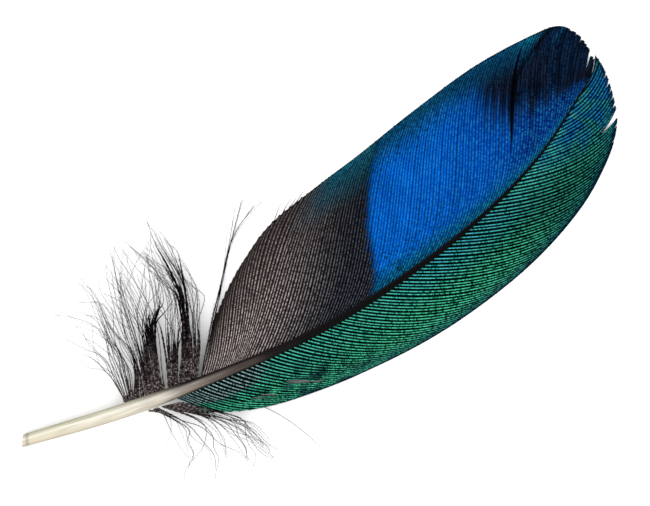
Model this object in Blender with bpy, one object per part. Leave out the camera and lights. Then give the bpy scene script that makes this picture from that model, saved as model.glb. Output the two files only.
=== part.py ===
"""A loose peafowl wing feather that lies on a surface, outer side up.

It is drawn in millimetres. X runs from the cut end of the quill to the tip, Y towards the
broad inner vane, and Z up from the surface. An empty under the middle of the feather
carries every piece, so the finished part stands on its own origin.
"""

import math
import random

import bmesh
import bpy
from mathutils import Vector

MM = 0.001
GAP = 0.3
SEED = 7

# Shaft: the plan line of its middle, its width and depth, and the arch that it makes
SHAFT_LENGTH = 128.5
SHAFT_SIDES = 12
SHAFT_RINGS = 34
SHAFT_LINE = (
    (0, 0), (20, -5.8), (40, -10.2), (58, -13.0), (75, -13.5), (95, -12.0), (112, -8.1), (128.5, -0.9),
)
SHAFT_SECTION = (
    (0, 2.3, 2.1), (12, 2.7, 2.5), (25, 2.7, 2.6), (36, 2.2, 2.3), (50, 1.7, 2.0),
    (65, 1.4, 1.8), (82, 1.15, 1.5), (97, 0.8, 1.1), (112, 0.5, 0.7), (128.5, 0.3, 0.4),
)
CUT_END_HEIGHT = 1.1
TIP_HEIGHT = 0.45
ARCH_HEIGHT = 4.8
QUILL_WALL = 0.35
HOLLOW_DEPTH = 1.5
GROOVE_START = 40
GROOVE_DEPTH = 0.25
TANGENT_STEP = 0.1

# Vanes: for a barb that leaves the shaft at x, its tip and its two end angles in degrees
INNER_BARBS = (
    (35.4, 43.8, -0.5, 38, 42), (37.6, 49.6, 3.4, 35, 37), (39.4, 55, 6.2, 34, 33),
    (41.4, 61.5, 8.7, 33, 29), (44.5, 71.5, 9.9, 32, 27), (56.5, 83.5, 10.8, 31, 29),
    (69, 95.4, 12.0, 30, 31), (87, 111, 12.9, 30, 30), (105, 124.8, 11.7, 33, 28),
    (113, 129, 10.3, 36, 32), (118.5, 130.8, 7.2, 40, 36), (123.5, 131, 4.2, 43, 42),
    (128.2, 130.6, 1.6, 48, 48),
)
OUTER_BARBS = (
    (29.4, 33.8, -15.4, -50, -38), (31.5, 40, -18.8, -56, -30), (34.1, 46.9, -21.3, -58, -25),
    (43.7, 61.2, -24.4, -55, -18), (59.2, 79.4, -26.1, -48, -10), (72.1, 97.4, -24.9, -38, 0),
    (86.4, 112.4, -21.1, -32, 8), (98.3, 122.4, -15.9, -27, 18), (107, 127.8, -11.0, -22, 28),
    (113.8, 130.1, -6.0, -15, 38), (120.5, 131.3, -1.2, -5, 40), (128.2, 131.7, 1.2, 12, 45),
)
INNER_RIDGES = 48
OUTER_RIDGES = 42
INNER_ROWS = (0, 0.14, 0.32, 0.52, 0.72, 0.87, 0.94, 1)
OUTER_ROWS = (0, 0.2, 0.45, 0.7, 0.9, 0.95, 1)
VANE_THICKNESS = 0.5
RIDGE_HEIGHT = 0.28
FLAT_FROM = 0.94
VANE_FALL = 1.8
FRAYED_REACH = 0.985
EDGE_LIFT = 1.2
LIFT_ENDS = 36
FLAT_STARTS = 44

# Splits in the margin: where the split barb leaves the shaft, and how far it still reaches
INNER_SPLITS = ((125.3, 0.55),)
OUTER_SPLITS = ((109.5, 0.8), (116.5, 0.93))

# Down: a web along the shaft, and the middle and tip of each lock by its number along it
WEB_WIDTH = 1.3
WEB_HEIGHT = 1.2
LOCK_RINGS = 6
LOCK_WIDTH = 0.8
LOCK_HEIGHT = 0.5
LOCK_TIP = 0.2
LOCK_STRAY = 0.4
INNER_WEB = (19.2, 34.4)
INNER_LOCKS = 14
INNER_LOW = (
    (0, 20.9, 5.0, 1.0, 17.8, 13.4, 0.4), (2, 24.4, 6.5, 1.0, 22.5, 16.0, 0.4),
    (5, 27.5, 8.5, 1.0, 29.0, 21.8, 0.4), (8, 32.0, 9.5, 1.0, 35.5, 21.4, 0.4),
    (11, 36.0, 7.0, 1.1, 41.5, 19.4, 0.4), (13, 39.6, 4.5, 1.2, 43.6, 15.0, 0.4),
)
INNER_HIGH = (
    (0, 21.8, 5.0, 5.4, 20.0, 14.6, 5.8), (3, 25.8, 8.0, 5.8, 26.0, 20.6, 6.4),
    (6, 32.0, 10.0, 6.0, 32.0, 22.0, 6.8), (8, 37.6, 9.0, 6.2, 35.6, 20.0, 7.0),
    (10, 41.6, 10.6, 6.0, 42.4, 21.9, 6.8), (11, 43.4, 8.0, 5.6, 44.6, 19.8, 6.2),
    (12, 46.0, 2.6, 3.8, 57.5, 13.9, 2.0), (13, 47.2, 1.8, 3.4, 62.0, 13.5, 1.4),
)
OUTER_WEB = (23.4, 28.7)
OUTER_LOCKS = 7
OUTER_LOW = (
    (0, 24.4, -13.0, 1.0, 21.0, -18.8, 0.4), (2, 27.6, -15.6, 1.0, 26.8, -23.4, 0.4),
    (4, 32.0, -17.6, 1.0, 34.6, -28.4, 0.4), (5, 34.4, -18.2, 0.9, 38.9, -26.8, 0.4),
    (6, 40.5, -17.5, 0.8, 47.0, -32.0, 0.4),
)
OUTER_HIGH = (
    (0, 25.4, -13.4, 4.4, 19.8, -21.4, 4.6), (2, 28.0, -16.6, 4.4, 25.1, -25.8, 4.4),
    (4, 31.8, -18.6, 4.0, 31.6, -29.9, 3.6), (6, 34.4, -19.6, 3.0, 37.6, -28.0, 2.4),
)


def clear_scene():
    """Remove every object that the file starts with."""
    for thing in list(bpy.data.objects):
        bpy.data.objects.remove(thing)


def paint(name, colour, roughness, metallic):
    """A plain finish of one colour."""
    material = bpy.data.materials.new(name)
    material.use_nodes = True
    shader = material.node_tree.nodes["Principled BSDF"]
    shader.inputs["Base Color"].default_value = (*colour, 1)
    shader.inputs["Roughness"].default_value = roughness
    shader.inputs["Metallic"].default_value = metallic
    return material


def curve(start, leave, end, arrive, t):
    """The point at t of a cubic that leaves start and arrives at end with the given speeds."""
    return (
        start * (2 * t**3 - 3 * t**2 + 1)
        + leave * (t**3 - 2 * t**2 + t)
        + end * (3 * t**2 - 2 * t**3)
        + arrive * (t**3 - t**2)
    )


def smooth(rows, x):
    """The values at x of a smooth curve through rows of (x, value, value...)."""
    last = len(rows) - 1
    i = 0
    while i < last - 1 and x > rows[i + 1][0]:
        i += 1
    start, end = rows[i], rows[i + 1]
    before, after = rows[max(i - 1, 0)], rows[min(i + 2, last)]
    span = end[0] - start[0]
    values = []
    for k in range(1, len(start)):
        leave = span * (end[k] - before[k]) / (end[0] - before[0])
        arrive = span * (after[k] - start[k]) / (after[0] - start[0])
        values.append(curve(start[k], leave, end[k], arrive, (x - start[0]) / span))
    return values


def heading(degrees):
    """A level direction, by its angle from X."""
    return Vector((math.cos(math.radians(degrees)), math.sin(math.radians(degrees)), 0))


def shaft_middle(x):
    """The middle of the shaft at x."""
    share = x / SHAFT_LENGTH
    level = CUT_END_HEIGHT + (TIP_HEIGHT - CUT_END_HEIGHT) * share
    return Vector((x, smooth(SHAFT_LINE, x)[0], level + ARCH_HEIGHT * math.sin(math.pi * share)))


def shaft_axes(x):
    """The directions along the shaft at x, to its inner side, and up from it."""
    along = (shaft_middle(x + TANGENT_STEP) - shaft_middle(x - TANGENT_STEP)).normalized()
    inward = Vector((0, 0, 1)).cross(along).normalized()
    return along, inward, along.cross(inward)


def shaft_side(x, side):
    """A point level with the shaft's middle, a gap away from its inner or outer side."""
    width = smooth(SHAFT_SECTION, x)[0]
    return shaft_middle(x) + shaft_axes(x)[1] * side * (width / 2 + GAP)


def place_ring(verts, x):
    """Set a ring of the shaft: round on the quill, squarer with a groove below on the rachis."""
    width, depth = smooth(SHAFT_SECTION, x)
    middle = shaft_middle(x)
    inward, up = shaft_axes(x)[1:]
    squareness = 1 - 0.22 * min(x / GROOVE_START, 1)
    for k, vert in enumerate(verts):
        turn = 2 * math.pi * k / SHAFT_SIDES
        across = math.copysign(abs(math.sin(turn)) ** squareness, math.sin(turn))
        above = math.copysign(abs(math.cos(turn)) ** squareness, math.cos(turn))
        point = middle + inward * across * width / 2 + up * above * depth / 2
        if k == SHAFT_SIDES // 2 and x > GROOVE_START:
            point += up * GROOVE_DEPTH * depth / 2
        vert.co = point


def make_shaft():
    """The bare quill and the rachis in one, drawn out ring by ring, with a hollow cut end."""
    bm = bmesh.new()
    bmesh.ops.create_circle(bm, cap_ends=True, segments=SHAFT_SIDES, radius=1)
    bm.faces.ensure_lookup_table()
    cut_face = bm.faces[0]
    place_ring(cut_face.verts, 0)
    made = bmesh.ops.extrude_face_region(bm, geom=[cut_face])["geom"]
    face = next(item for item in made if isinstance(item, bmesh.types.BMFace))
    for i in range(1, SHAFT_RINGS + 1):
        place_ring(face.verts, SHAFT_LENGTH * i / SHAFT_RINGS)
        if i < SHAFT_RINGS:
            face = bmesh.ops.extrude_discrete_faces(bm, faces=[face])["faces"][0]
    bmesh.ops.inset_individual(bm, faces=[cut_face], thickness=QUILL_WALL)
    floor = bmesh.ops.extrude_discrete_faces(bm, faces=[cut_face])["faces"][0]
    bmesh.ops.translate(bm, verts=floor.verts, vec=shaft_axes(0)[0] * HOLLOW_DEPTH)
    return finish("shaft", bm, paint("shaft", (0.42, 0.37, 0.29), 0.35, 0.0))


def vane_point(barbs, side, x, t):
    """A point of a vane's underside: the share t along the barb that leaves the shaft at x."""
    tip_x, tip_y, leave, arrive = smooth(barbs, x)
    root = shaft_side(x, side)
    height = root.z
    root.z = 0
    tip = Vector((tip_x, tip_y, 0))
    reach = (tip - root).length
    point = curve(root, heading(leave) * reach, tip, heading(arrive) * reach, t)
    lift = EDGE_LIFT * min(max((FLAT_STARTS - x) / (FLAT_STARTS - LIFT_ENDS), 0), 1)
    lift *= 0 if side > 0 else 1
    fall = 1 - min(t / FLAT_FROM, 1) ** VANE_FALL
    point.z = lift + (height - VANE_THICKNESS / 2 - lift) * fall
    return point


def make_vane(name, side, barbs, ridges, rows, splits, material):
    """A webbed vane: a sheet whose every second column is the ridge of a barb."""
    bm = bmesh.new()
    columns = 2 * ridges
    first, last = barbs[0][0], barbs[-1][0]
    step = (last - first) / columns
    bmesh.ops.create_grid(bm, x_segments=columns, y_segments=len(rows) - 1, size=1)
    for vert in bm.verts:
        column = round((vert.co.x + 1) / 2 * columns)
        t = rows[round((vert.co.y + 1) / 2 * (len(rows) - 1))]
        x = first + step * column
        ridge = RIDGE_HEIGHT * math.sin(math.pi * min(t / FLAT_FROM, 1)) if column % 2 else 0
        reach = 1 if column % 2 else FRAYED_REACH
        for split_x, split_reach in splits:
            if abs(x - split_x) <= step and column % 2 == 0:
                reach = split_reach
        vert.co = vane_point(barbs, side, x, t * reach) + Vector((0, 0, ridge))
    if side < 0:
        bmesh.ops.reverse_faces(bm, faces=bm.faces[:])
    vane = finish(name, bm, material, recalculate=False)
    wall = vane.modifiers.new("thickness", "SOLIDIFY")
    wall.thickness = VANE_THICKNESS * MM
    wall.offset = 1
    return vane


def draw_lock(bm, face, middle, tip):
    """Draw one face of the web out into a lock that bends through middle and thins to its tip."""
    root = face.calc_center_median()
    bend = 2 * middle - (root + tip) / 2
    corners = [vert.co - root for vert in face.verts]
    across = (corners[0] - corners[2]) * Vector((1, 1, 0))
    signs = [(math.copysign(1, corner.dot(across)), math.copysign(1, corner.z)) for corner in corners]
    for i in range(1, LOCK_RINGS + 1):
        t = i / LOCK_RINGS
        centre = root * (1 - t) ** 2 + bend * 2 * t * (1 - t) + tip * t**2
        along = (bend - root) * (1 - t) + (tip - bend) * t
        turned = Vector((0, 0, 1)).cross(along).normalized()
        across = turned * math.copysign(1, turned.dot(across))
        width = (LOCK_WIDTH * (1 - t) + LOCK_TIP * t) / 2
        height = (LOCK_HEIGHT * (1 - t) + LOCK_TIP * t) / 2
        face = bmesh.ops.extrude_discrete_faces(bm, faces=[face])["faces"][0]
        for vert, (sideways, upward) in zip(face.verts, signs):
            vert.co = centre + across * sideways * width + Vector((0, 0, upward * height))


def make_web(bm, side, ends, count):
    """A web along the shaft, two faces high along its outer edge, which it returns low and high."""
    bmesh.ops.create_grid(bm, x_segments=count, y_segments=1, size=1)
    for vert in bm.verts:
        x = ends[0] + (ends[1] - ends[0]) * (vert.co.x + 1) / 2
        outward = shaft_axes(x)[1] * side * WEB_WIDTH * (vert.co.y + 1) / 2
        vert.co = shaft_side(x, side) + outward - Vector((0, 0, WEB_HEIGHT / 2))
    layer = bm.faces[:]
    for keep_below in (True, False):
        made = bmesh.ops.extrude_face_region(bm, geom=layer)["geom"]
        if not keep_below:
            bmesh.ops.delete(bm, geom=layer, context="FACES")
        layer = [item for item in made if isinstance(item, bmesh.types.BMFace)]
        raised = [item for item in made if isinstance(item, bmesh.types.BMVert)]
        bmesh.ops.translate(bm, verts=raised, vec=(0, 0, WEB_HEIGHT / 2))
    edge = []
    for face in bm.faces:
        centre = face.calc_center_median()
        from_shaft = centre - shaft_side(centre.x, side)
        if from_shaft.xy.length > 0.8 * WEB_WIDTH:
            edge.append((centre.x, from_shaft.z, face))
    edge.sort(key=lambda row: row[0])
    low = [face for x, level, face in edge if level < 0]
    high = [face for x, level, face in edge if level > 0]
    return low, high


def make_tuft(name, side, ends, count, low_rows, high_rows, material):
    """Loose down: a web along the shaft, drawn out into a low and a high row of locks."""
    chance = random.Random(SEED)
    bm = bmesh.new()
    low, high = make_web(bm, side, ends, count)
    for faces, rows in ((low, low_rows), (high, high_rows)):
        for number, face in enumerate(faces):
            values = smooth(rows, number)
            stray = Vector((chance.uniform(-1, 1), chance.uniform(-1, 1), 0)) * LOCK_STRAY
            draw_lock(bm, face, Vector(values[:3]), Vector(values[3:]) + stray)
    return finish(name, bm, material)


def finish(name, bm, material, recalculate=True):
    """Turn a shape in millimetres into a named object in metres."""
    if recalculate:
        bmesh.ops.recalc_face_normals(bm, faces=bm.faces[:])
    bmesh.ops.scale(bm, vec=(MM, MM, MM), verts=bm.verts[:])
    mesh = bpy.data.meshes.new(name)
    bm.to_mesh(mesh)
    bm.free()
    mesh.shade_smooth()
    mesh.set_sharp_from_angle(angle=math.radians(50))
    mesh.materials.append(material)
    thing = bpy.data.objects.new(name, mesh)
    bpy.context.scene.collection.objects.link(thing)
    return thing


def stand(pieces):
    """Carry the pieces on an empty, so that the origin is on the surface under their middle."""
    bpy.context.view_layer.update()
    graph = bpy.context.evaluated_depsgraph_get()
    corners = [Vector(corner) for piece in pieces for corner in piece.evaluated_get(graph).bound_box]
    low = [min(corner[k] for corner in corners) for k in range(3)]
    high = [max(corner[k] for corner in corners) for k in range(3)]
    feather = bpy.data.objects.new("feather", None)
    bpy.context.scene.collection.objects.link(feather)
    feather.location = (-(low[0] + high[0]) / 2, -(low[1] + high[1]) / 2, -low[2])
    for piece in pieces:
        piece.parent = feather


def main():
    clear_scene()
    down_finish = paint("down", (0.07, 0.055, 0.05), 0.8, 0.0)
    inner_finish = paint("inner_vane", (0.01, 0.09, 0.36), 0.4, 0.3)
    outer_finish = paint("outer_vane", (0.01, 0.2, 0.13), 0.4, 0.3)
    stand([
        make_shaft(),
        make_vane("inner_vane", 1, INNER_BARBS, INNER_RIDGES, INNER_ROWS, INNER_SPLITS, inner_finish),
        make_vane("outer_vane", -1, OUTER_BARBS, OUTER_RIDGES, OUTER_ROWS, OUTER_SPLITS, outer_finish),
        make_tuft("inner_down", 1, INNER_WEB, INNER_LOCKS, INNER_LOW, INNER_HIGH, down_finish),
        make_tuft("outer_down", -1, OUTER_WEB, OUTER_LOCKS, OUTER_LOW, OUTER_HIGH, down_finish),
    ])


main()
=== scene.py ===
import math

import bmesh
import bpy
import numpy as np
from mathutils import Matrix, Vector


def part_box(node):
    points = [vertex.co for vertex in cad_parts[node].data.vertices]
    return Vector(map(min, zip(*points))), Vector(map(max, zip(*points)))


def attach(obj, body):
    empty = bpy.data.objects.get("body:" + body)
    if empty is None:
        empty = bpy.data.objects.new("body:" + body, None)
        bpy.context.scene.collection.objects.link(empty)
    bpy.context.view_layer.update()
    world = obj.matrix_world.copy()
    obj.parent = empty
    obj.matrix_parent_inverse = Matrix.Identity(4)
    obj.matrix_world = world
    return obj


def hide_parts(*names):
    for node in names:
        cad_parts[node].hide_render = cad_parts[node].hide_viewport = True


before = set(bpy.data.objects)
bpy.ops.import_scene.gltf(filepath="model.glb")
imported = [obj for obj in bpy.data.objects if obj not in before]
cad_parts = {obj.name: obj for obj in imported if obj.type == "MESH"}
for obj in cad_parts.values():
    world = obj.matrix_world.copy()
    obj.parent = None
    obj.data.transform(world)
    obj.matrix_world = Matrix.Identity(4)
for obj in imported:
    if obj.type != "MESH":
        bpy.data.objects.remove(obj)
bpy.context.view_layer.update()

# Measures are in millimetres. X runs from the cut end to the tip, Y to the broad vane, Z up.
MM = 0.001
SEED = 11

# What the photo shows: the middle of the picture, its width, and how far the feather is turned
PHOTO_MIDDLE = (67.8, -1.4)
PHOTO_WIDTH = 123.6
PHOTO_TURN = 33

# How strong the studio light is on a level white surface
STUDIO_LIGHT = 1.5

# Shaft, as its solid has it: its line from above, then its width and depth at each x
SHAFT_LENGTH = 128.5
SHAFT_LINE = (
    (0, 0), (20, -5.8), (40, -10.2), (58, -13.0),
    (75, -13.5), (95, -12.0), (112, -8.1), (128.5, -0.9),
)
SHAFT_SECTION = (
    (0, 2.3, 2.1), (12, 2.7, 2.5), (25, 2.7, 2.6), (36, 2.2, 2.3), (50, 1.7, 2.0),
    (65, 1.4, 1.8), (82, 1.15, 1.5), (97, 0.8, 1.1), (112, 0.5, 0.7), (128.5, 0.3, 0.4),
)
CUT_END_HEIGHT = 1.1
TIP_HEIGHT = 0.45
ARCH_HEIGHT = 4.8
RACHIS_SQUARENESS = 0.22
GROOVE_START = 40
GROOVE_FADE = 4
GROOVE_DEPTH = 0.25
GROOVE_SPREAD = 0.35
SOLID_SIDES = 12
SOLID_RINGS = 34

# The finer shaft that is seen, and its cut end, which slants at its middle and from side to side
SHAFT_SIDES = 32
SHAFT_RINGS = 170
SHARP_ANGLE = 50
QUILL_WALL = 0.28
HOLLOW_DEPTH = 1.6
CUT_SLANT = (0.25, 0.5)
CUT_SLANT_ENDS = 3

# Vanes: for a barb that leaves the shaft at x, its tip and its two end angles in degrees
INNER_BARBS = (
    (35.4, 43.8, -0.5, 38, 42), (37.6, 49.6, 3.4, 35, 37), (39.4, 55, 6.2, 34, 33),
    (41.4, 61.5, 8.7, 33, 29), (44.5, 71.5, 9.9, 32, 27), (56.5, 83.5, 10.8, 31, 29),
    (69, 95.4, 12.0, 30, 31), (87, 111, 12.9, 30, 30), (105, 124.8, 11.7, 33, 28),
    (113, 129, 10.3, 36, 32), (118.5, 130.8, 7.2, 40, 36), (123.5, 131, 4.2, 43, 42),
    (128.2, 130.6, 1.6, 48, 48),
)
OUTER_BARBS = (
    (29.4, 33.8, -15.4, -50, -38), (31.5, 40, -18.8, -56, -30), (34.1, 46.9, -21.3, -58, -25),
    (43.7, 61.2, -24.4, -55, -18), (59.2, 79.4, -26.1, -48, -10), (72.1, 97.4, -24.9, -38, 0),
    (86.4, 112.4, -21.1, -32, 8), (98.3, 122.4, -15.9, -27, 18), (107, 127.8, -11.0, -22, 28),
    (113.8, 130.1, -6.0, -15, 38), (120.5, 131.3, -1.2, -5, 40), (128.2, 131.4, 2.2, 20, 50),
)

# How a vane falls from the shaft to its level margin. The narrow one is lifted over its first
# barbs, in full up to LIFT_ENDS and not at all from FLAT_STARTS on.
VANE_THICKNESS = 0.5
FLAT_FROM = 0.94
VANE_FALL = 1.8
EDGE_LIFT = 1.2
LIFT_ENDS = 36
FLAT_STARTS = 44
ROOT_GAP = -0.15

# Barbs: how far apart they stand and how evenly, how high they lie, and the rib on each one's edge
INNER_PITCH = 0.53
OUTER_PITCH = 0.56
PITCH_WANDER = 0.09
BARB_RINGS = 121
BARB_BED = 0.2
SHORTEST_BARB = 0.988
BLUNT_TIP = 0.5
WIDTH_CHANGES = (96, 116)
TOOTH_SLANT = 0.5
RIB_RINGS = 31
RIB_SIDE = 0.42
RIB_ROOT = 0.05
RIB_THINS = 0.035

# The thin web below the barbs
WEB_ROWS = 44
WEB_BED = 0.06
WEB_THICKNESS = 0.1

# Partings of the barbs: root, start and end along the barb, width, and whether the web is torn
TO_MARGIN = 2
INNER_PARTINGS = (
    (101.6, 0.24, 1.02, 1.3, False), (103.4, 0.55, 0.98, 0.4, False), (86.6, 0.2, 0.8, 0.14, False),
    (107.4, 0.5, 0.95, 0.35, False), (111.0, 0.55, 0.92, 0.25, False),
    (125.3, 0.4, TO_MARGIN, 2.5, True), (120.2, 0.92, TO_MARGIN, 1.3, True),
    (118.2, 0.95, TO_MARGIN, 0.9, True), (121.6, 0.9, TO_MARGIN, 0.9, True),
    (123.0, 0.88, TO_MARGIN, 1.0, True), (116.4, 0.965, TO_MARGIN, 0.7, True),
)
OUTER_PARTINGS = (
    (43.0, 0.37, 0.6, 1.5, True), (43.3, 0.57, 0.7, 0.9, True), (37.3, 0.45, 0.61, 0.9, True),
    (35.9, 0.47, 0.6, 0.7, True),
    (109.4, 0.7, TO_MARGIN, 2.2, True), (117.2, 0.9, TO_MARGIN, 0.8, True),
    (113.7, 0.9, TO_MARGIN, 0.7, True), (111.4, 0.91, TO_MARGIN, 0.8, True),
    (103.4, 0.94, TO_MARGIN, 0.7, True), (119.5, 0.9, TO_MARGIN, 0.6, True),
    (115.4, 0.93, TO_MARGIN, 0.5, True), (107.0, 0.95, TO_MARGIN, 0.5, True),
    (46.5, 0.3, 0.5, 0.25, False), (39.0, 0.45, 0.7, 0.25, False), (52.0, 0.55, 0.8, 0.2, False),
)
PARTING_REACH = 1.6
CRACK_FLARE = 0.8
TEARS_FROM = 0.12

# Down: guide lines from the shaft to the tips, in the order of their roots
INNER_GUIDES = (
    ((20.6, -4.6), (21.0, 2.0), (20.3, 6.1), (18.6, 11.0), (16.8, 15.0)),
    ((21.1, -5.3), (23.2, 1.9), (23.9, 6.5), (25.2, 12.4), (20.9, 18.0)),
    ((22.1, -5.1), (25.5, 0), (26.7, 7.2), (27.6, 15.4), (29.0, 22.3)),
    ((25.3, -5.8), (28.5, 2.6), (31.2, 11.5), (33.1, 17.7), (34.5, 21.8)),
    ((27.2, -6.3), (32.4, 5.2), (35.1, 8.0), (38.4, 15.2), (42.5, 20.4)),
    ((31.0, -7.4), (36.1, -0.6), (39.7, 6.8), (39.5, 11.3), (35.5, 20.0)),
    ((32.8, -8.1), (40.4, 4.6), (42.8, 12.3), (42.6, 19.5), (43.3, 22.1)),
    ((34.2, -8.4), (40.2, 0.2), (43.1, 6.7), (43.4, 13.2), (43.5, 21.5)),
)
OUTER_GUIDES = (
    ((23.6, -8.3), (25.9, -10.8), (24.7, -14.7), (21.9, -18.5), (19.8, -21.4)),
    ((24.6, -8.5), (27.5, -14.4), (27.9, -17.8), (28.2, -21.7), (25.1, -25.8)),
    ((26.5, -9.1), (31.8, -15.7), (32.7, -21.5), (32.2, -24.8), (31.7, -29.9)),
    ((27.8, -9.6), (35.3, -18.4), (36.6, -22.4), (37.9, -27.7), (38.4, -29.4)),
    ((29.2, -10.1), (36.1, -17.2), (38.1, -22.1), (38.9, -26.8), (39.3, -28.2)),
)
STRAY_GUIDES = (
    ((34.6, -9.0), (40.1, -3.2), (44.3, 0.9), (50.3, 6.5), (59.4, 17.0)),
    ((35.3, -9.2), (41.0, -3.0), (46.0, 2.2), (54.3, 10.3), (63.0, 14.0)),
)

# Single hairs by their root, middle and tip: one below the narrow vane, four on the broad margin
LONG_HAIR = (((28.6, -10.6, 3.6), (40.5, -17.5, 0.8), (47.0, -32.0, 0.4)),)
MARGIN_HAIRS = (
    ((61.4, 7.6, 0.3), (64.2, 9.9, 0.5), (66.0, 11.1, 0.5)),
    ((63.0, 8.0, 0.3), (66.3, 10.0, 0.5), (68.1, 10.7, 0.5)),
    ((64.4, 8.2, 0.3), (67.4, 9.7, 0.4), (68.9, 10.2, 0.4)),
    ((66.4, 8.6, 0.3), (69.4, 10.1, 0.4), (71.0, 10.6, 0.4)),
)
HAIR_RINGS = 41

# Clumps of down: the guide line they follow, their spread, number of barbs, and webbed share
INNER_CLUMPS = (
    (0.2, 0.35, 9, 0.05), (1.1, 0.35, 9, 0.06), (1.8, 0.25, 6, 0.12), (2.25, 0.1, 9, 0.27),
    (3.0, 0.3, 14, 0.29), (3.75, 0.2, 13, 0.36), (4.05, 0.06, 5, 0.62), (4.6, 0.15, 11, 0.3),
    (5.02, 0.15, 8, 0.3), (5.4, 0.06, 7, 0.68), (5.9, 0.3, 10, 0.3), (6.7, 0.3, 10, 0.25),
    (3.4, 1.4, 14, 0.04),
)
OUTER_CLUMPS = (
    (0.1, 0.1, 3, 0.12), (1.0, 0.16, 5, 0.2), (2.0, 0.2, 8, 0.24), (2.9, 0.25, 7, 0.2),
    (3.8, 0.16, 7, 0.16),
)
STRAY_CLUMPS = ((0.05, 0.1, 6, 0.5), (0.95, 0.1, 6, 0.5))

# Tufts: name, solid, guides, clumps, width of the webbed part, highest hair's height at its middle
# and tip, looseness, and number of barbules on a barb
TUFTS = (
    ("inner_down", "inner_down", INNER_GUIDES, INNER_CLUMPS, 0.21, (5.8, 6.3), 1, 42),
    ("outer_down", "outer_down", OUTER_GUIDES, OUTER_CLUMPS, 0.15, (4.4, 3.6), 0.9, 36),
    ("stray_lock", "inner_down", STRAY_GUIDES, STRAY_CLUMPS, 0.01, (3.4, 2.0), 0.18, 50),
)
LOWEST_HAIR = (1.0, 0.4)
DOWN_RINGS = 61
DOWN_LENGTH = 1.02
DOWN_SHORTER = 0.42
DOWN_ROOT = 0.085
DOWN_THINS = 0.05
WEBBED_FADE = (0.6, 1.15)


def curve(start, leave, end, arrive, t):
    """The point at t of a cubic that leaves start and arrives at end with the given speeds."""
    return (
        start * (2 * t**3 - 3 * t**2 + 1)
        + leave * (t**3 - 2 * t**2 + t)
        + end * (3 * t**2 - 2 * t**3)
        + arrive * (t**3 - t**2)
    )


def smooth(rows, x):
    """The values at each x of smooth curves through rows of (x, value, value...)."""
    rows = np.array(rows, float)
    x = np.asarray(x, float)
    i = np.clip(np.searchsorted(rows[:, 0], x) - 1, 0, len(rows) - 2)
    start, end = rows[i], rows[i + 1]
    before, after = rows[np.maximum(i - 1, 0)], rows[np.minimum(i + 2, len(rows) - 1)]
    span = end[..., :1] - start[..., :1]
    leave = span * (end - before) / (end[..., :1] - before[..., :1])
    arrive = span * (after - start) / (after[..., :1] - start[..., :1])
    return curve(start, leave, end, arrive, (x[..., None] - start[..., :1]) / span)[..., 1:]


def ease(x, low, high):
    """0 below low, 1 above high, and a soft rise between them."""
    share = np.clip((x - low) / (high - low), 0, 1)
    return share * share * (3 - 2 * share)


def unit(vectors):
    """Vectors of length 1."""
    return vectors / np.linalg.norm(vectors, axis=-1, keepdims=True)


def heading(degrees):
    """Level directions, by their angle from X."""
    turn = np.radians(degrees)
    return np.stack([np.cos(turn), np.sin(turn), np.zeros_like(turn)], -1)


def shaft_middle(x):
    """The middle of the shaft at each x."""
    share = x / SHAFT_LENGTH
    level = CUT_END_HEIGHT + (TIP_HEIGHT - CUT_END_HEIGHT) * share
    height = level + ARCH_HEIGHT * np.sin(np.pi * share)
    return np.stack([x, smooth(SHAFT_LINE, x)[..., 0], height], -1)


def shaft_axes(x):
    """The directions along the shaft at each x, to its inner side, and up from it."""
    along = unit(shaft_middle(x + 0.1) - shaft_middle(x - 0.1))
    inward = unit(np.cross((0, 0, 1), along))
    return along, inward, np.cross(along, inward)


def shaft_side(x, side):
    """Points level with the shaft's middle, just inside its inner or outer side."""
    width = smooth(SHAFT_SECTION, x)[..., :1]
    return shaft_middle(x) + shaft_axes(x)[1] * side * (width / 2 + ROOT_GAP)


def shaft_ring(x, sides):
    """A ring of the shaft: round on the quill, squarer with a groove below on the rachis."""
    x = np.full(sides, float(x))
    width, depth = smooth(SHAFT_SECTION, x).T
    inward, up = shaft_axes(x)[1:]
    squareness = 1 - RACHIS_SQUARENESS * np.minimum(x / GROOVE_START, 1)
    turn = 2 * np.pi * np.arange(sides) / sides
    across = np.sign(np.sin(turn)) * np.abs(np.sin(turn)) ** squareness
    above = np.sign(np.cos(turn)) * np.abs(np.cos(turn)) ** squareness
    groove = GROOVE_DEPTH * np.exp(-((turn - np.pi) / GROOVE_SPREAD) ** 2)
    groove = groove * ease(x, GROOVE_START, GROOVE_START + GROOVE_FADE)
    point = shaft_middle(x) + inward * (across * width / 2)[:, None]
    return point + up * ((above + groove) * depth / 2)[:, None]


def find_shift():
    """How far the solid feather stands from the drawing's origin, in millimetres."""
    places = (SHAFT_LENGTH * i / SOLID_RINGS for i in range(SOLID_RINGS + 1))
    rings = [shaft_ring(place, SOLID_SIDES) for place in places]
    return np.array(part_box("shaft")[0]) / MM - np.concatenate(rings).min(0)


def parting(x, t, partings):
    """Barb roots after the partings have pushed them aside."""
    moved = x + 0 * t
    for root, start, end, width, _ in partings:
        push = opening(t, start, end) * width / 2 * np.exp(-np.abs(x - root) / PARTING_REACH)
        moved = moved + np.where(x < root, -push, push)
    return moved


def opening(t, start, end):
    """How far a parting is open at the share t along its barbs, as a slit or a crack."""
    if end == TO_MARGIN:
        return np.clip((t - start) / (1 - start), 0, 1) ** CRACK_FLARE
    return np.sin(np.pi * np.clip((t - start) / (end - start), 0, 1))


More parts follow.
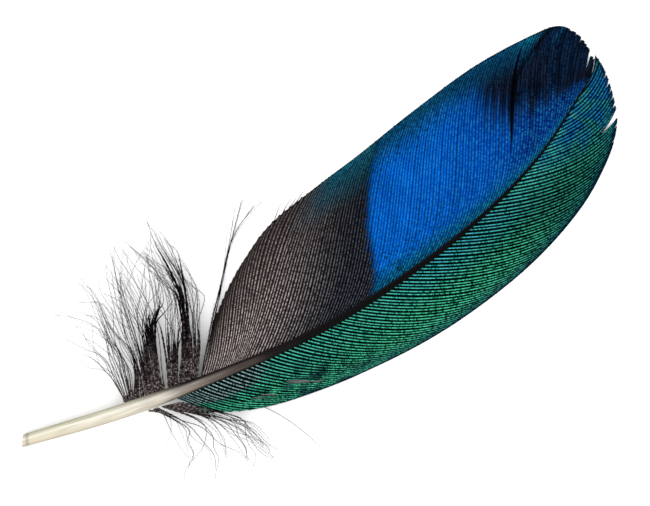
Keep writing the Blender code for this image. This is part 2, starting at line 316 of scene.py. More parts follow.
def vane_point(barbs, side, x, t):
    """Points of a vane's underside: the share t along the barb that leaves the shaft at x."""
    first, last = barbs[0][0], barbs[-1][0]
    x = np.clip(x, first, last)
    tip_x, tip_y, leave, arrive = np.moveaxis(smooth(barbs, x), -1, 0)
    root = shaft_side(x, side)
    height = root[..., 2].copy()
    root[..., 2] = 0
    tip = np.stack([tip_x, tip_y, np.zeros_like(tip_x)], -1)
    reach = np.linalg.norm(tip - root, axis=-1, keepdims=True)
    point = curve(root, heading(leave) * reach, tip, heading(arrive) * reach, t[..., None])
    lift = EDGE_LIFT * np.clip((FLAT_STARTS - x) / (FLAT_STARTS - LIFT_ENDS), 0, 1) * (side < 0)
    fall = 1 - np.minimum(t / FLAT_FROM, 1) ** VANE_FALL
    point[..., 2] = lift + (height - VANE_THICKNESS / 2 - lift) * fall
    return point


def line_axes(lines):
    """The directions along each line, across it on the level, and up from it."""
    along = unit(np.gradient(lines, axis=1))
    across = unit(np.cross((0, 0, 1), along))
    return along, across, np.cross(along, across)


def join(name, rings, values, finish, slot, *nodes):
    """One mesh of many closed strands. rings has the shape (strands, rings, corners, 3)."""
    strands, count, corners = rings.shape[:3]
    numbers = np.arange(strands * count * corners).reshape(strands, count, corners)
    here, there = numbers[:, :-1], numbers[:, 1:]
    walls = np.stack([here, np.roll(here, -1, 2), np.roll(there, -1, 2), there], -1).reshape(-1, 4)
    caps = np.concatenate([numbers[:, 0, ::-1], numbers[:, -1]])
    points = (rings.reshape(-1, 3) + SHIFT) * MM
    mesh = bpy.data.meshes.new(name)
    mesh.from_pydata(points.tolist(), [], walls.tolist() + caps.tolist())
    for key, value in values.items():
        layer = mesh.attributes.new(key, "FLOAT", "POINT")
        value = np.broadcast_to(value, rings.shape[:3]).ravel()
        layer.data.foreach_set("value", value.astype(np.float32))
    mesh.shade_smooth()
    place(name, mesh, finish, slot, *nodes)


def mesh_of(name, bm):
    """The mesh that a finished drawing becomes."""
    mesh = bpy.data.meshes.new(name)
    bm.to_mesh(mesh)
    bm.free()
    return mesh


def place(name, mesh, finish, slot, *nodes):
    """Put a finished mesh into the scene, on the feather, in the place of its solids."""
    mesh.materials.append(finish)
    thing = bpy.data.objects.new(name, mesh)
    bpy.context.scene.collection.objects.link(thing)
    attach(thing, "root")
    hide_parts(*nodes)
    return thing


def linear(colour):
    """A colour as it looks under the studio light, from 0 to 255, made what the shader wants."""
    return tuple((value / 255) ** 2.2 / STUDIO_LIGHT for value in colour)


class Recipe:
    """A finish in the making: its nodes, and short ways to add to them."""

    def __init__(self, name, roughness, metallic=0.0, specular=0.5):
        self.material = bpy.data.materials.new(name)
        self.material.use_nodes = True
        self.tree = self.material.node_tree
        self.shader = self.tree.nodes["Principled BSDF"]
        self.shader.inputs["Roughness"].default_value = roughness
        self.shader.inputs["Metallic"].default_value = metallic
        self.shader.inputs["Specular IOR Level"].default_value = specular

    def node(self, kind, inputs=(), **settings):
        """A node with its settings, and its inputs as numbers, colours or other nodes' outputs."""
        node = self.tree.nodes.new(kind)
        for key, value in settings.items():
            setattr(node, key, value)
        for key, value in dict(inputs).items():
            if isinstance(value, bpy.types.NodeSocket):
                self.tree.links.new(value, node.inputs[key])
            else:
                node.inputs[key].default_value = value
        return node

    def value(self, name):
        """A number that each point of the piece carries."""
        return self.node("ShaderNodeAttribute", attribute_name=name).outputs["Fac"]

    def maths(self, operation, first, second):
        inputs = {0: first, 1: second}
        return self.node("ShaderNodeMath", inputs, operation=operation).outputs[0]

    def blend(self, share, first, second, way="MIX"):
        """Two colours in one, by share from the first to the second."""
        inputs = {0: share}
        for key, colour in ((6, first), (7, second)):
            made = isinstance(colour, bpy.types.NodeSocket)
            inputs[key] = colour if made else (*linear(colour), 1)
        return self.node("ShaderNodeMix", inputs, data_type="RGBA", blend_type=way).outputs[2]

    def ramp(self, share, *stops):
        """A colour that changes with share, by stops of (share, colour)."""
        node = self.node("ShaderNodeValToRGB", {0: share})
        node.color_ramp.interpolation = "EASE"
        while len(node.color_ramp.elements) < len(stops):
            node.color_ramp.elements.new(0.5)
        for element, (position, colour) in zip(node.color_ramp.elements, stops):
            element.position = position
            element.color = (*linear(colour), 1)
        return node.outputs[0]

    def between(self, value, low, high, to_low=0.0, to_high=1.0):
        """A number's range moved to another range, and kept in it."""
        inputs = {0: value, 1: low, 2: high, 3: to_low, 4: to_high}
        return self.node("ShaderNodeMapRange", inputs).outputs[0]

    def grain(self, size, detail=2.0, stretch=(1, 1, 1), turn=0.0):
        """Cloudy noise with spots of that size in millimetres."""
        place = self.node("ShaderNodeTexCoord").outputs["Object"]
        inputs = {"Vector": place, "Rotation": (0, 0, turn), "Scale": stretch}
        place = self.node("ShaderNodeMapping", inputs).outputs[0]
        inputs = {"Vector": place, "Scale": 1 / (size * MM), "Detail": detail}
        return self.node("ShaderNodeTexNoise", inputs).outputs["Fac"]

    def streaks(self, *names, detail=1.0):
        """Noise over up to three of the numbers that the points carry."""
        inputs = dict(enumerate(names))
        place = self.node("ShaderNodeCombineXYZ", inputs).outputs[0]
        inputs = {"Vector": place, "Scale": 1.0, "Detail": detail}
        return self.node("ShaderNodeTexNoise", inputs).outputs["Fac"]

    def flecks(self, barb, reach, ridge):
        """Noise over the barbs, with so many spots from barb to barb, along one and across one."""
        sizes = (("barb", barb), ("reach", reach), ("ridge", ridge))
        spots = (self.maths("MULTIPLY", self.value(name), size) for name, size in sizes)
        return self.streaks(*spots)

    def colour(self, output):
        self.tree.links.new(output, self.shader.inputs["Base Color"])

    def bump(self, height, depth, strength=1.0):
        inputs = {"Height": height, "Distance": depth * MM, "Strength": strength}
        normal = self.node("ShaderNodeBump", inputs).outputs[0]
        self.tree.links.new(normal, self.shader.inputs["Normal"])


def shaft_finish():
    """Smooth horn: ivory on the quill, and dark brown to black along the rachis, with a painted
    highlight and painted shade around the shaft and painted shade along the rachis's edges.
    """
    recipe = Recipe("horn", 0.34, 0.0, 0.05)
    along, across = recipe.value("along"), recipe.value("across")
    length_spots = recipe.maths("MULTIPLY", along, 22)
    side_spots = recipe.maths("MULTIPLY", across, 3)
    fibre = recipe.streaks(length_spots, side_spots, detail=3)
    mingled = recipe.between(fibre, 0.3, 0.7, -0.012, 0.012)
    mingled = recipe.maths("MULTIPLY", recipe.between(along, 0.05, 0.15), mingled)
    horn = recipe.ramp(
        recipe.maths("ADD", along, mingled),
        (0.0, (262, 257, 244)), (0.006, (256, 250, 236)), (0.0085, (196, 188, 176)),
        (0.0115, (262, 256, 238)), (0.15, (264, 260, 248)), (0.2, (240, 233, 226)),
        (0.25, (166, 158, 152)), (0.29, (116, 107, 103)), (0.34, (76, 69, 68)),
        (0.39, (30, 26, 28)), (0.44, (3, 3, 4)),
    )
    # Painted highlight in a band a little towards the inner side of the middle, and painted shade
    # towards both edges of the shaft.
    painted_highlight_and_shade = recipe.ramp(
        recipe.between(across, -1.0, 1.0),
        (0.0, (222, 212, 196)), (0.12, (268, 262, 248)), (0.4, (284, 280, 268)),
        (0.55, (290, 288, 280)), (0.6, (306, 306, 306)), (0.66, (302, 302, 300)),
        (0.74, (264, 264, 250)), (1.0, (228, 229, 212)),
    )
    horn = recipe.blend(1.0, horn, painted_highlight_and_shade, "MULTIPLY")
    # Painted shade along the rachis's inner and outer edges.
    inner_edge_shade = recipe.between(across, 0.2, 0.75)
    inner_edge_shade = recipe.maths("MULTIPLY", inner_edge_shade, recipe.between(along, 0.16, 0.25))
    horn = recipe.blend(inner_edge_shade, horn, (34, 28, 30))
    outer_edge_shade = recipe.between(across, -0.5, -0.85)
    outer_edge_shade = recipe.maths("MULTIPLY", outer_edge_shade, recipe.between(along, 0.18, 0.27))
    horn = recipe.blend(outer_edge_shade, horn, (26, 21, 23))
    dull = recipe.between(fibre, 0.4, 0.75, 0.0, 0.3)
    recipe.colour(recipe.blend(dull, horn, (150, 140, 130), "MULTIPLY"))
    recipe.bump(fibre, 0.02, 0.4)
    return recipe.material


def make_shaft():
    """The bare quill and the rachis in one, drawn out ring by ring, with a hollow cut end."""
    bm = bmesh.new()
    along = bm.verts.layers.float.new("along")
    across = bm.verts.layers.float.new("across")

    def set_ring(verts, x):
        forward = shaft_axes(np.array(float(x)))[0] * max(0, 1 - x / CUT_SLANT_ENDS)
        for k, (vert, point) in enumerate(zip(verts, shaft_ring(x, SHAFT_SIDES))):
            vert[across] = math.sin(2 * math.pi * k / SHAFT_SIDES)
            vert[along] = x / SHAFT_LENGTH
            vert.co = point + forward * (CUT_SLANT[0] + CUT_SLANT[1] * vert[across])

    bmesh.ops.create_circle(bm, cap_ends=True, segments=SHAFT_SIDES, radius=1)
    bm.faces.ensure_lookup_table()
    cut_face = bm.faces[0]
    set_ring(cut_face.verts, 0)
    made = bmesh.ops.extrude_face_region(bm, geom=[cut_face])["geom"]
    face = next(item for item in made if isinstance(item, bmesh.types.BMFace))
    for i in range(1, SHAFT_RINGS + 1):
        set_ring(face.verts, SHAFT_LENGTH * i / SHAFT_RINGS)
        if i < SHAFT_RINGS:
            face = bmesh.ops.extrude_discrete_faces(bm, faces=[face])["faces"][0]
    bmesh.ops.inset_individual(bm, faces=[cut_face], thickness=QUILL_WALL)
    floor = bmesh.ops.extrude_discrete_faces(bm, faces=[cut_face])["faces"][0]
    inward = shaft_axes(np.array(0.0))[0] * HOLLOW_DEPTH
    bmesh.ops.translate(bm, verts=floor.verts, vec=inward)
    bmesh.ops.recalc_face_normals(bm, faces=bm.faces[:])
    bmesh.ops.translate(bm, verts=bm.verts[:], vec=SHIFT)
    bmesh.ops.scale(bm, verts=bm.verts[:], vec=(MM, MM, MM))

    # The first ring's walls come in another order on each run, so the faces are put in a fixed one.
    bm.verts.index_update()
    ordered = sorted(bm.faces, key=lambda face: sorted(vert.index for vert in face.verts))
    for number, face in enumerate(ordered):
        face.index = number
    bm.faces.sort()
    mesh = mesh_of("quill_and_rachis", bm)
    mesh.shade_smooth()
    mesh.set_sharp_from_angle(angle=math.radians(SHARP_ANGLE))
    place("quill_and_rachis", mesh, shaft_finish(), "shaft", "shaft")


def web_and_gap_shade_finish(name, colour):
    """The thin dark web between the barbs: dark for the barbules there, and painted shade where it
    shows in the gaps between them.
    """
    recipe = Recipe(name, 0.9, 0.0, 0.0)
    grain = recipe.grain(0.4, 3)
    darker = tuple(value * 0.6 for value in colour)
    recipe.colour(recipe.blend(recipe.between(grain, 0.3, 0.7), colour, darker))
    recipe.bump(grain, 0.03)
    return recipe.material


def make_web(name, node, side, barbs, pitch, partings, finish):
    """A thin web that closes the gaps between the barbs, torn where a parting goes through."""
    bm = bmesh.new()
    first, last = barbs[0][0], barbs[-1][0]
    columns = round((last - first) / pitch * 2)  # two to a barb
    bmesh.ops.create_grid(bm, x_segments=columns, y_segments=WEB_ROWS, size=1)
    x = np.array([first + (last - first) * (vert.co.x + 1) / 2 for vert in bm.verts])
    t = np.array([(vert.co.y + 1) / 2 for vert in bm.verts])
    points = vane_point(barbs, side, parting(x, t, partings), t)
    torn = []
    for face in bm.faces:
        numbers = [vert.index for vert in face.verts]
        low, high, middle = x[numbers].min(), x[numbers].max(), t[numbers].mean()
        for root, start, end, _, through in partings:
            if through and low <= root < high and opening(middle, start, end) > TEARS_FROM:
                torn.append(face)
    for vert, point in zip(bm.verts, points):
        vert.co = point + SHIFT + (0, 0, WEB_BED)
    bmesh.ops.delete(bm, geom=list(set(torn)), context="FACES")
    if side < 0:
        bmesh.ops.reverse_faces(bm, faces=bm.faces[:])
    bmesh.ops.scale(bm, verts=bm.verts[:], vec=(MM, MM, MM))
    mesh = mesh_of(name, bm)
    mesh.shade_smooth()
    wall = place(name, mesh, finish, node, node).modifiers.new("web_wall", "SOLIDIFY")
    wall.thickness = WEB_THICKNESS * MM
    wall.offset = 1


def barb_roots(barbs, side, pitch, chance):
    """Where the barbs leave the shaft, so that they are a pitch apart out on the vane."""
    x = np.linspace(barbs[0][0], barbs[-1][0], 500)
    t = np.linspace(0.08, 0.85, 16)  # the part where barbs lie side by side
    lines = vane_point(barbs, side, x[:, None] + 0 * t, t + 0 * x[:, None])
    covered = np.cumsum(pitch_of(lines).mean(1))
    count = round(covered[-1] / pitch)
    places = (np.arange(count) + 0.5 + chance.uniform(-PITCH_WANDER, PITCH_WANDER, count)) / count
    return np.interp(places * covered[-1], covered, x)


def barb_lines(barbs, side, roots, t, partings, bed):
    """The middle lines of barbs, raised from the vane's underside by bed."""
    x = parting(roots[:, None] + 0 * t, t, partings)
    lines = vane_point(barbs, side, x, t)
    lines[..., 2] += bed
    return lines


def pitch_of(lines):
    """How far each line is from its neighbours, square to itself."""
    along = line_axes(lines)[0]
    return np.linalg.norm(np.cross(np.gradient(lines, axis=0), along), axis=-1)


def ribbon(lines, half_width, camber, teeth, slant):
    """Serrated ribbons: every second ring reaches out into the tips of a pair of barbules."""
    along, across, above = line_axes(lines)
    tooth = (np.arange(lines.shape[1]) % 2)[None, :]
    reach = (half_width * (1 - teeth + teeth * tooth))[..., None]
    forward = along * (half_width * slant * tooth)[..., None]
    top = lines + above * camber[..., None]
    below = lines - above * camber[..., None] * 0.5
    left = lines + across * reach + forward
    right = lines - across * reach + forward
    return np.stack([left, top, right, below], 2)


def inner_zones(x, t):
    """The coloured zones of the broad vane, each as a share from 0 to 1."""
    blue_edge = np.interp(
        t, (0, 0.1, 0.25, 0.44, 0.62, 0.81, 0.93, 1),
        (69.6, 68.6, 66.6, 63.9, 62.8, 61.6, 61, 60.6),
    )
    navy_edge = np.interp(
        x, (60, 82, 90, 93, 96.4, 99.4, 103.5, 109.6, 113, 120, 123.8, 126.2, 128),
        (1.2, 1.1, 0.92, 0.79, 0.67, 0.62, 0.57, 0.47, 0.44, 0.43, 0.38, 0.14, 0.06),
    )
    fingers = 0.045 * np.sin(5.1 * x) + 0.04 * np.sin(12.7 * x + 2) + 0.02 * np.sin(23 * x)
    navy_edge = navy_edge + fingers * ease(x, 88, 98)
    soft = 0.14 * (1 - ease(x, 100, 112))
    # A line of painted shade along the fold in the vane.
    fold_line = np.interp(
        t, (0.3, 0.57, 0.74, 0.83, 0.94, 1), (101.7, 101.0, 102, 104.6, 108.3, 110),
    )
    fold_width = np.interp(t, (0.3, 0.5, 0.75, 1), (0.15, 0.5, 0.8, 1.2))
    fold_shade = 0.85 * ease(t, 0.28, 0.4) * np.exp(-(((x - fold_line) / fold_width) ** 2))
    streak_line = np.interp(t, (0.85, 1), (111.4, 114.2))
    streak = 0.8 * ease(t, 0.82, 0.9) * np.exp(-(((x - streak_line) / 0.5) ** 2))
    dull = np.maximum(1 - ease(t, 0.08, 0.5), 0.7 * ease(t, 0.6, 0.85))
    return {
        "blue": ease(x, blue_edge - 1.0, blue_edge + 2.8),
        "navy": ease(t, navy_edge - 0.13 - soft, navy_edge + 0.05),
        "teal": ease(t, 0.62, 0.98) * ease(x, 43, 52),
        "slate": ease(t, 0.7, 0.95),
        "cyan": 1 - ease(t, 0.03, 0.22),
        "lagoon": np.maximum(streak, ease(t, 0.72, 1) * (1 - ease(x, 104, 107))),
        "fold_shade": fold_shade,
        "bright": 1 - ease(np.abs(x - 74), 2, 26),
        "royal": 0.95 * ease(x, 97, 108) * ease(t, 0.05, 0.2),
        "shine": 0.8 * ease(t, 0.88, 0.97) * np.exp(-(((x - 103) / 3.2) ** 2)),
        "dull": 0.9 * dull * (1 - ease(x, 78, 100)) + 0.15,
        "dusk": ease(x, 38, 63),
    }


def inner_finish():
    """Barbs of the broad vane: brown-black at the base, royal blue beyond, navy at the tip."""
    recipe = Recipe("blue_and_brown_barbs", 0.42, 0.5, 0.02)
    zone = recipe.value
    flake = recipe.between(recipe.flecks(900, 95, 1.2), 0.34, 0.66)
    fleck = recipe.between(recipe.flecks(500, 84, 0), 0.38, 0.64, 0.12)
    glint = recipe.maths("MULTIPLY", fleck, recipe.between(zone("ridge"), 0.72, 1.0))
    glint = recipe.maths("MULTIPLY", glint, recipe.between(zone("reach"), 0.3, 1.0, 1.0, 0.1))
    brown = recipe.blend(zone("dusk"), (80, 70, 69), (30, 33, 41))
    brown = recipe.blend(flake, recipe.blend(zone("dusk"), (62, 53, 52), (24, 27, 34)), brown)
    brown = recipe.blend(glint, brown, recipe.blend(zone("dusk"), (262, 246, 240), (98, 102, 112)))
    brown = recipe.blend(zone("teal"), brown, recipe.blend(flake, (4, 62, 84), (44, 122, 146)))
    cloud = recipe.between(recipe.grain(7, 3, (1, 0.5, 1), math.radians(-57)), 0.35, 0.65)
    blue = recipe.blend(cloud, (0, 94, 208), (0, 116, 240))
    blue = recipe.blend(zone("bright"), recipe.blend(cloud, (0, 80, 186), (0, 98, 214)), blue)
    blue = recipe.blend(zone("slate"), blue, recipe.blend(cloud, (10, 50, 84), (22, 84, 124)))
    blue = recipe.blend(zone("cyan"), blue, (4, 90, 140))
    blue = recipe.blend(zone("royal"), blue, recipe.blend(cloud, (2, 35, 108), (6, 49, 138)))
    spark = recipe.between(recipe.flecks(600, 66, 1.2), 0.44, 0.62)
    lit = recipe.maths("MULTIPLY", recipe.maths("MULTIPLY", spark, zone("ridge")), 0.36)
    blue = recipe.blend(lit, blue, recipe.blend(zone("cyan"), (50, 176, 255), (60, 190, 210)))
    teal = recipe.maths("MULTIPLY", recipe.between(recipe.grain(0.5, 2), 0.5, 0.66), zone("dull"))
    blue = recipe.blend(teal, blue, (6, 62, 84))
    dusky = recipe.between(recipe.grain(3, 3, (0.5, 1, 1)), 0.45, 0.65)
    navy = recipe.blend(dusky, (8, 22, 44), (14, 20, 38))
    navy = recipe.blend(flake, navy, recipe.blend(dusky, (28, 54, 86), (38, 50, 72)))
    streak = recipe.between(recipe.flecks(400, 2.5, 0), 0.46, 0.62, 0.0, 0.6)
    navy = recipe.blend(streak, navy, (8, 12, 24))
    navy = recipe.blend(zone("lagoon"), navy, recipe.blend(flake, (6, 52, 88), (28, 98, 138)))
    blue = recipe.blend(zone("navy"), blue, navy)
    blue = recipe.blend(zone("shine"), blue, recipe.blend(flake, (0, 84, 116), (30, 140, 170)))
    # Painted shade along the fold in the vane.
    blue = recipe.blend(zone("fold_shade"), blue, (8, 8, 18))
    blue = recipe.blend(recipe.between(zone("blue"), 0.5, 1.0, 0.8, 0.0), blue, (2, 46, 78))
    fringe = recipe.between(recipe.flecks(500, 40, 1), 0.35, 0.65, -0.25, 0.25)
    fringed = recipe.between(recipe.maths("ADD", zone("blue"), fringe), 0.26, 0.7)
    colour = recipe.blend(fringed, brown, blue)
    # Painted shade: darker towards the sides of each barb, less so in the blue zone, with darker
    # streaks at random added.
    dark = recipe.between(zone("ridge"), 0.0, 0.6, 0.36, 0.0)
    dark = recipe.maths("MULTIPLY", dark, recipe.between(zone("blue"), 0.0, 1.0, 1.0, 0.25))
    dark = recipe.maths("ADD", dark, recipe.between(recipe.flecks(400, 7, 0), 0.35, 0.7, 0.0, 0.2))
    recipe.colour(recipe.blend(dark, colour, (0, 6, 12)))
    return recipe.material


def outer_zones(x, t):
    """The coloured zones of the narrow vane, each as a share from 0 to 1."""
    grey_edge = np.interp(t, (0, 0.22, 0.3, 0.36, 0.42, 0.5), (47, 41, 34, 31, 28, 26))
    return {
        "green": ease(x, grey_edge - 2.6, grey_edge + 3),
        "mottle": (1 - ease(x, 48, 62)) * (1 - 0.85 * ease(t, 0.3, 0.45) * (1 - ease(x, 33, 39))),
        "aqua": 1 - ease(t, 0.05, 0.5),
        "cyan": ease(x, 64, 86) * (1 - 0.7 * ease(x, 92, 106)),
        "hatch": ease(t, 0.62, 0.88) * (0.2 + 0.8 * ease(x, 38, 60)),
        "dusk": 0.75 * ease(x, 78, 100),
        "edge": 0.85 * ease(t, 0.87, 0.96),
        "blue": ease(x, 104, 116),
    }


def outer_finish():
    """Barbs of the narrow vane: emerald, paler near the rachis, dark teal to navy at the margin."""
    recipe = Recipe("emerald_barbs", 0.38, 0.6, 0.02)
    zone = recipe.value
    flake = recipe.between(recipe.flecks(700, 60, 1), 0.34, 0.6)
    mottle = recipe.between(recipe.grain(2.6, 4), 0.42, 0.6)
    mottle = recipe.maths("MULTIPLY", mottle, zone("mottle"))
    green = recipe.blend(flake, (0, 84, 60), (92, 240, 186))
    green = recipe.blend(mottle, green, recipe.blend(flake, (0, 24, 28), (40, 110, 104)))
    green = recipe.blend(zone("dusk"), green, recipe.blend(flake, (0, 46, 46), (50, 146, 134)))
    aqua = recipe.blend(zone("cyan"), (90, 214, 188), (80, 200, 222))
    aqua = recipe.blend(recipe.between(flake, 0.0, 0.6), (10, 124, 108), aqua)
    green = recipe.blend(recipe.maths("MULTIPLY", zone("aqua"), 0.8), green, aqua)
    hatch = recipe.blend(flake, (0, 36, 56), (48, 150, 140))
    green = recipe.blend(recipe.maths("MULTIPLY", zone("hatch"), 0.85), green, hatch)
    patch = recipe.between(recipe.grain(2.4, 3), 0.42, 0.56, 0.3, 0.95)
    patch = recipe.maths("MULTIPLY", zone("blue"), patch)
    green = recipe.blend(patch, green, recipe.blend(flake, (0, 42, 110), (34, 136, 204)))
    green = recipe.blend(zone("edge"), green, (8, 36, 84))
    grey = recipe.blend(flake, (2, 14, 18), (156, 194, 194))
    colour = recipe.blend(zone("green"), grey, green)
    # Painted shade: darker towards the sides of each barb.
    dark = recipe.between(zone("ridge"), 0.1, 0.8, 0.94, 0.0)
    recipe.colour(recipe.blend(dark, colour, (1, 14, 14)))
    return recipe.material


def make_barbs(name, node, side, barbs, pitch, partings, zones, widths, teeth, camber, finish):
    """The barbs of a vane: a serrated ribbon each, with a fine rib along one edge.

    widths are counted in pitches, at the vane's base and at its tip.
    """
    chance = np.random.default_rng(SEED)
    roots = barb_roots(barbs, side, pitch, chance)
    count = len(roots)
    reach = chance.uniform(SHORTEST_BARB, 1.0, count)[:, None]
    t = reach * np.linspace(0, 1, BARB_RINGS)[None, :]
    lines = barb_lines(barbs, side, roots, t, partings, BARB_BED)
    taper = BLUNT_TIP + (1 - BLUNT_TIP) * (1 - ease(t / reach, SHORTEST_BARB, 1))
    width = (widths[0] + (widths[1] - widths[0]) * ease(roots, *WIDTH_CHANGES))[:, None]
    pitches = pitch_of(barb_lines(barbs, side, roots, t, (), 0))
    half_width = np.minimum(pitches, 1) / 2 * width * taper
    rings = ribbon(lines, half_width, camber * taper, teeth, TOOTH_SLANT)
    mark = chance.uniform(0, 1, count)[:, None, None]

    def values(t, ridge):
        shares = zones(roots[:, None] + 0 * t, t)
        shares = {key: value[..., None] for key, value in shares.items()}
        return {**shares, "reach": t[..., None], "barb": mark, "ridge": np.array(ridge)}

    join(name + "_barbs", rings, values(t, (0, 1, 0.7, 0.2)), finish, node, node)
    t = reach * np.linspace(0, 1, RIB_RINGS)[None, :]
    lines = barb_lines(barbs, side, roots, t, partings, BARB_BED)
    _, across, above = line_axes(lines)
    pitches = pitch_of(barb_lines(barbs, side, roots, t, (), 0))
    lines = lines + across * (pitches * width * RIB_SIDE)[..., None]
    thick = (RIB_ROOT - RIB_THINS * t)[..., None]
    rings = np.stack([lines + across * thick, lines + above * thick, lines - across * thick], 2)
    join(name + "_ribs", rings, values(t, (0.05, 0.1, 0.05)), finish, node, node)


def down_finish(name, dark, pale):
    """Matt down, dark with paler spots, and browner near the shaft."""
    recipe = Recipe(name, 0.8, 0.0, 0.0)
    barb_spots = recipe.maths("MULTIPLY", recipe.value("barb"), 300)
    flake = recipe.streaks(barb_spots, recipe.maths("MULTIPLY", recipe.value("reach"), 90))
    near = recipe.between(recipe.value("reach"), 0.05, 0.3, 1.0, 0.0)
    brown = recipe.blend(near, dark, (46, 38, 39))
    pale = recipe.blend(near, pale, (170, 158, 156))
    recipe.colour(recipe.blend(recipe.between(flake, 0.48, 0.7), brown, pale))
    return recipe.material


def guided(guides, share, t):
    """Lines between the guide lines: share counts guides at each point, t runs from root to tip."""
    guides = np.array(guides, float)
    share = np.clip(share, -0.3, len(guides) - 0.7)
    i = np.clip(np.floor(share).astype(int), 0, len(guides) - 2)
    points = guides.shape[1]
    rows = np.column_stack([np.arange(points), np.eye(points)])
    weights = smooth(rows, t * (points - 1))
    part = (share - i)[..., None]
    here = np.einsum("mkj,mkjc->mkc", weights, guides[i])
    return here * (1 - part) + np.einsum("mkj,mkjc->mkc", weights, guides[i + 1]) * part


def down_lines(guides, share, level, length, high, t, chance, loose):
    """Loose hairs from the shaft's side, each at its own level between a low and a high layer."""
    t = t * length[:, None]
    drift = chance.normal(0, 0.8 * loose, (len(share), 1)) * ease(t, 0.15, 1)
    plan = guided(guides, share[:, None] + drift, t)
    phase = chance.uniform(0, 2 * np.pi, (4, len(share), 1))
    size = chance.normal(0, 0.5 * loose, (4, len(share), 1))
    for axis in (0, 1):
        slow = size[axis] * np.sin(5 * t + phase[axis])
        sway = slow + 0.5 * size[axis + 2] * np.sin(16 * t + phase[axis + 2])
        plan[..., axis] += (sway - sway[:, :1]) * ease(t, 0, 0.4)
    root = shaft_middle(plan[:, :1, 0])[..., 2]
    middle, tip = (
        (low + (top - low) * level)[:, None] for low, top in zip(LOWEST_HAIR, high)
    )
    return np.concatenate([plan, bow(root, middle, tip, t)[..., None]], -1)


def bow(root, middle, tip, t):
    """The point at t of a bow from root through middle, halfway, to tip."""
    bend = 2 * middle - (root + tip) / 2
    return root * (1 - t) ** 2 + bend * 2 * t * (1 - t) + tip * t**2


def barbules(lines, count, start, length, thick, chance):
    """Short fine hairs along both sides of each line, curved towards its tip."""
    strands, rings = lines.shape[:2]
    along, across, above = line_axes(lines)
    steps = np.arange(count) + chance.uniform(0, 1, (strands, count))
    place_at = start + (1 - start) * steps / count
    spot = place_at * (rings - 1)
    i = np.minimum(spot.astype(int), rings - 2)
    row = np.arange(strands)[:, None]
    part = (spot - i)[..., None]
    root = lines[row, i] * (1 - part) + lines[row, i + 1] * part
    side = np.where(np.arange(count) % 2, 1.0, -1.0)[None, :, None]
    lean = np.radians(chance.uniform(20, 65, (strands, count, 1)))
    rise = chance.normal(0, 0.35, (strands, count, 1))
    forward = along[row, i] * np.cos(lean)
    way = unit(forward + across[row, i] * side * np.sin(lean) + above[row, i] * rise)
    long = (length * chance.uniform(0.5, 1, (strands, count)) * (1 - 0.5 * place_at))[..., None]
    middle = root + way * long * 0.5
    tip = middle + unit(way + 0.7 * along[row, i]) * long * 0.5
    lines = np.stack([root, middle, tip], 2).reshape(-1, 3, 3)
    return round_hair(lines, thick * np.array([1.0, 0.8, 0.3])[None, :]), place_at.ravel()


def round_hair(lines, thick):
    """Three-sided hairs along lines."""
    _, across, above = line_axes(lines)
    thick = np.broadcast_to(thick, lines.shape[:2])[..., None]
    turns = (math.pi / 2, math.pi * 7 / 6, math.pi * 11 / 6)
    corners = [across * math.cos(turn) + above * math.sin(turn) for turn in turns]
    return np.stack([lines + corner * thick for corner in corners], 2)


def make_down(name, node, guides, clumps, web, high, loose, count, finish, fluff_finish, chance):
    """A tuft: barbs that are webbed near the shaft and loose beyond, with barbules along them."""
    share = [chance.normal(middle, spread, number) for middle, spread, number, _ in clumps]
    share = np.concatenate(share)
    webbed = np.concatenate([np.full(number, end) for _, _, number, end in clumps])[:, None]
    share = np.clip(share, -0.2, len(guides) - 0.9)
    strands = len(share)
    length = DOWN_LENGTH - chance.uniform(0, DOWN_SHORTER, strands) * loose
    level = chance.beta(1.1, 1.8, strands)
    t = np.linspace(0, 1, DOWN_RINGS)[None, :]
    lines = down_lines(guides, share, level, length, high, t, chance, loose)
    dense = 1 - ease(t, webbed * WEBBED_FADE[0], webbed * WEBBED_FADE[1])
    dense = dense * chance.uniform(0.5, 1, strands)[:, None]
    half_width = (DOWN_ROOT - DOWN_THINS * t) * chance.uniform(0.5, 1.2, strands)[:, None]
    half_width = half_width + web * dense
    rings = ribbon(lines, half_width, 0.02 + 0.2 * half_width, teeth=0.4, slant=0.6)
    mark = chance.uniform(0, 1, strands)[:, None, None]
    join(name + "_barbs", rings, {"barb": mark, "reach": t[..., None]}, finish, "down", node)
    rings, spots = barbules(lines, count, start=0.08, length=0.65, thick=0.02, chance=chance)
    values = {"barb": np.repeat(mark.ravel(), count)[:, None, None], "reach": spots[:, None, None]}
    join(name + "_fluff", rings, values, fluff_finish, "down", node)


def make_tufts():
    """Both tufts of loose down, the stray lock, and the single hairs."""
    chance = np.random.default_rng(SEED)
    dark = down_finish("down_barbs", (12, 8, 12), (56, 48, 52))
    soft = down_finish("down_barbules", (24, 18, 22), (70, 62, 68))
    for tuft in TUFTS:
        make_down(*tuft, dark, soft, chance)
    make_hairs("long_hair", "outer_down", LONG_HAIR, 0.1, dark)
    make_hairs("margin_hairs", "inner_vane", MARGIN_HAIRS, 0.085, dark)


def make_hairs(name, node, hairs, thick, finish):
    """Single loose hairs, each bent through its root, middle and tip."""
    root, middle, tip = np.moveaxis(np.array(hairs, float), 1, 0)[:, :, None]
    t = np.linspace(0, 1, HAIR_RINGS)[:, None]
    rings = round_hair(bow(root, middle, tip, t), (thick * (1 - 0.6 * t[:, 0]))[None, :])
    join(name, rings, {"barb": 0.3, "reach": t[None]}, finish, "down", node)


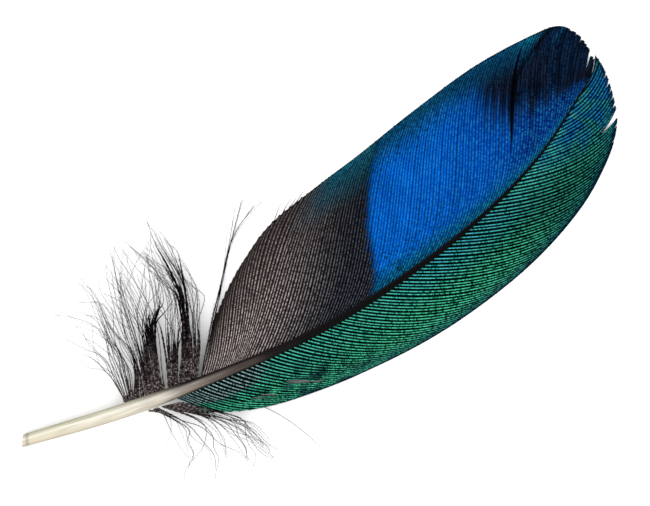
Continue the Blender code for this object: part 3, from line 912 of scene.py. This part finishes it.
def make_floor():
    """A plain pale floor, which isn't part of the feather."""
    bm = bmesh.new()
    bmesh.ops.create_grid(bm, x_segments=1, y_segments=1, size=6)
    mesh = mesh_of("floor", bm)
    recipe = Recipe("pale_floor", 0.9, 0.0, 0.1)
    cloud = recipe.between(recipe.grain(900), 0.3, 0.7)
    recipe.colour(recipe.blend(cloud, (292, 292, 292), (296, 296, 296)))
    mesh.materials.append(recipe.material)
    floor = bpy.data.objects.new("floor", mesh)
    bpy.context.scene.collection.objects.link(floor)


def make_light():
    """A soft key light from the lower left of the view, and an even white surround."""
    sun = bpy.data.lights.new("key", "SUN")
    sun.energy = 1.3
    sun.angle = math.radians(50)
    key = bpy.data.objects.new("key", sun)
    key.rotation_euler = (math.radians(20), math.radians(-16), math.radians(-33))
    bpy.context.scene.collection.objects.link(key)
    world = bpy.data.worlds.new("studio")
    world.use_nodes = True
    surround = world.node_tree.nodes["Background"]
    surround.inputs["Color"].default_value = (1, 1, 1, 1)
    surround.inputs["Strength"].default_value = 1.15
    bpy.context.scene.world = world
    bpy.context.scene.view_settings.view_transform = "Standard"


def make_camera():
    """The view straight down on the feather, as far off as a long lens needs."""
    lens = bpy.data.cameras.new("camera")
    lens.lens = 400
    lens.sensor_width = 36
    lens.clip_start = 0.01
    lens.clip_end = 100
    camera = bpy.data.objects.new("camera", lens)
    middle = (np.array(PHOTO_MIDDLE) + SHIFT[:2]) * MM
    camera.location = (*middle, PHOTO_WIDTH * MM * lens.lens / lens.sensor_width)
    camera.rotation_euler = (0, 0, -math.radians(PHOTO_TURN))
    bpy.context.scene.collection.objects.link(camera)
    bpy.context.scene.camera = camera


SHIFT = find_shift()
make_camera()
make_light()
make_floor()
make_shaft()
make_web(
    "inner_web", "inner_vane", 1, INNER_BARBS, INNER_PITCH, INNER_PARTINGS,
    web_and_gap_shade_finish("inner_web", (14, 14, 20)),
)
make_web(
    "outer_web", "outer_vane", -1, OUTER_BARBS, OUTER_PITCH, OUTER_PARTINGS,
    web_and_gap_shade_finish("outer_web", (2, 20, 20)),
)
make_barbs(
    "inner", "inner_vane", 1, INNER_BARBS, INNER_PITCH, INNER_PARTINGS, inner_zones,
    widths=(1.3, 1.3), teeth=0.18, camber=0.065, finish=inner_finish(),
)
make_barbs(
    "outer", "outer_vane", -1, OUTER_BARBS, OUTER_PITCH, OUTER_PARTINGS, outer_zones,
    widths=(0.6, 0.95), teeth=0.25, camber=0.1, finish=outer_finish(),
)
make_tufts()
